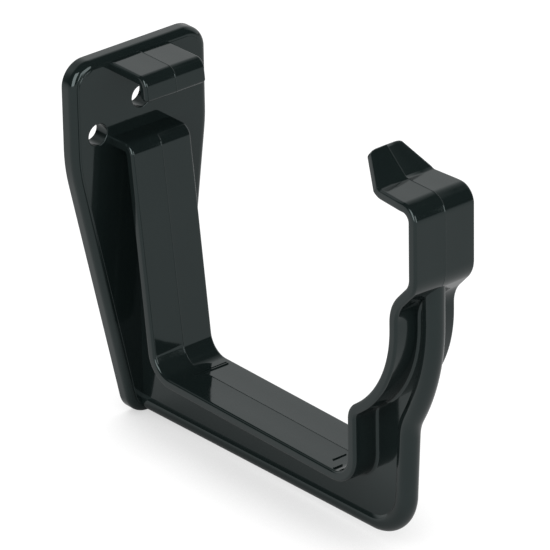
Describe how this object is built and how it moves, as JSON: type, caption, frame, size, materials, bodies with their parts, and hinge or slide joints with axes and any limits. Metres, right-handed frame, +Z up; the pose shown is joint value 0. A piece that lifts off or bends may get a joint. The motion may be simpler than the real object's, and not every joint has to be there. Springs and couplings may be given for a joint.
{
  "type": "gutter bracket",
  "caption": "Black plastic fascia bracket that cradles an ogee rain gutter: screw plate, rear clip, webbed curved arm and front hook with a pull-back tongue.",
  "frame": {"origin": "on the plate's back face, in the middle of its width, level with the top of the gutter's seat", "axes": "+X straight out from the fascia board, +Y along the fascia, +Z up"},
  "size_m": [0.1278, 0.0458, 0.1162],
  "materials": {
    "body": "glossy moulded black"
  },
  "bodies": {
    "root": {"bracket": "body"}
  },
  "joints": []
}
